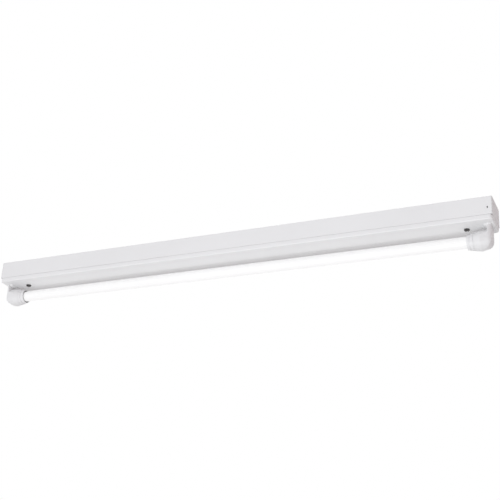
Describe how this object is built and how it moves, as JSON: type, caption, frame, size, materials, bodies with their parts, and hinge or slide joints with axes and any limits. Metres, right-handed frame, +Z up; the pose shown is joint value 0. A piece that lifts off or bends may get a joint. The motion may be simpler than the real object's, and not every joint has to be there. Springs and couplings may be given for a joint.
{
  "type": "trough light fixture",
  "caption": "Slim white trough ceiling light: folded steel channel, drop-down lower cover with control gear, and a straight tube lamp held between round sealed lampholders.",
  "frame": {"origin": "middle of the flat ceiling face on top of the channel", "axes": "+Z up to the ceiling, X along the fixture with the cable inlet at +X, -Y to the pictured side"},
  "size_m": [1.27, 0.075, 0.1093],
  "materials": {
    "white_enamel": "satin",
    "zinc_steel": "satin",
    "dark_screw": "polished",
    "holder_plastic": "satin",
    "collar_plastic": "satin",
    "carrier_plastic": "matte",
    "black_rubber": "matte",
    "contact_brass": "satin",
    "spring_steel": "satin",
    "lamp_glass": "gloss",
    "stem_glass": "gloss",
    "cap_aluminium": "satin",
    "circuit_board": "satin",
    "ferrite": "matte",
    "capacitor_sleeve": "gloss",
    "terminal_plastic": "gloss",
    "button_plastic": "gloss",
    "lead_insulation": "satin"
  },
  "bodies": {
    "housing": {"housing_channel": "white_enamel", "end_plate_left": "white_enamel", "end_plate_right": "white_enamel", "bridge_left": "zinc_steel", "bridge_right": "zinc_steel", "bridge_nuts": "zinc_steel", "earth_screw": "contact_brass", "inlet_grommet": "black_rubber"},
    "cover": {"lower_cover": "white_enamel", "cover_screws": "dark_screw", "lampholder_left": "holder_plastic", "lampholder_right": "holder_plastic", "holder_screws": "zinc_steel", "pin_carrier_right": "carrier_plastic", "plunger_spring": "spring_steel", "contact_blades_left": "contact_brass", "contact_blades_right": "contact_brass", "gear_case": "zinc_steel", "gear_lid": "zinc_steel", "gear_board": "circuit_board", "gear_choke": "ferrite", "gear_capacitor": "capacitor_sleeve", "gear_studs": "zinc_steel", "gear_nuts": "zinc_steel", "terminal_block": "terminal_plastic", "leads_left": "lead_insulation", "leads_right": "lead_insulation", "supply_leads": "lead_insulation", "lead_clips": "carrier_plastic"},
    "plunger": {"plunger_left": "carrier_plastic"},
    "lamp": {"lamp_tube": "lamp_glass", "lamp_cap_left": "cap_aluminium", "lamp_cap_right": "cap_aluminium", "lamp_pins": "contact_brass", "lamp_stems": "stem_glass", "lamp_filaments": "spring_steel"},
    "seal_left": {"gasket_left": "black_rubber"},
    "ring_left": {"collar_ring_left": "collar_plastic"},
    "seal_right": {"gasket_right": "black_rubber"},
    "ring_right": {"collar_ring_right": "collar_plastic"},
    "button_live": {"release_button_live": "button_plastic"},
    "button_neutral": {"release_button_neutral": "button_plastic"}
  },
  "joints": [
    {"name": "cover_drop", "type": "slide", "parent": "housing", "child": "cover", "axis": [0, 0, -1], "range_m": [0, 0.08]},
    {"name": "lamp_push", "type": "slide", "parent": "cover", "child": "lamp", "axis": [-1, 0, 0], "range_m": [0, 0.008], "stiffness_N_per_m": 900, "springref_m": -0.004},
    {"name": "plunger_push", "type": "slide", "parent": "cover", "child": "plunger", "axis": [-1, 0, 0], "range_m": [0, 0.008], "deforming": ["plunger_spring"]},
    {"name": "collar_left_travel", "type": "slide", "parent": "cover", "child": "seal_left", "axis": [1, 0, 0], "range_m": [0, 0.006]},
    {"name": "collar_left_turn", "type": "hinge", "parent": "seal_left", "child": "ring_left", "pos_m": [-0.58, 0, -0.087], "axis": [1, 0, 0], "range_deg": [0, 540]},
    {"name": "collar_right_travel", "type": "slide", "parent": "cover", "child": "seal_right", "axis": [-1, 0, 0], "range_m": [0, 0.006]},
    {"name": "collar_right_turn", "type": "hinge", "parent": "seal_right", "child": "ring_right", "pos_m": [0.58, 0, -0.087], "axis": [-1, 0, 0], "range_deg": [0, 540]},
    {"name": "button_live_press", "type": "slide", "parent": "cover", "child": "button_live", "axis": [0, 0, -1], "range_m": [0, 0.0015], "stiffness_N_per_m": 400, "springref_m": -0.002},
    {"name": "button_neutral_press", "type": "slide", "parent": "cover", "child": "button_neutral", "axis": [0, 0, -1], "range_m": [0, 0.0015], "stiffness_N_per_m": 400, "springref_m": -0.002}
  ],
  "couplings": [
    {"joint": "plunger_push", "follows": "lamp_push", "ratio": 1},
    {"joint": "collar_left_travel", "follows": "collar_left_turn", "m_per_rad": 0.000636},
    {"joint": "collar_right_travel", "follows": "collar_right_turn", "m_per_rad": 0.000636}
  ]
}
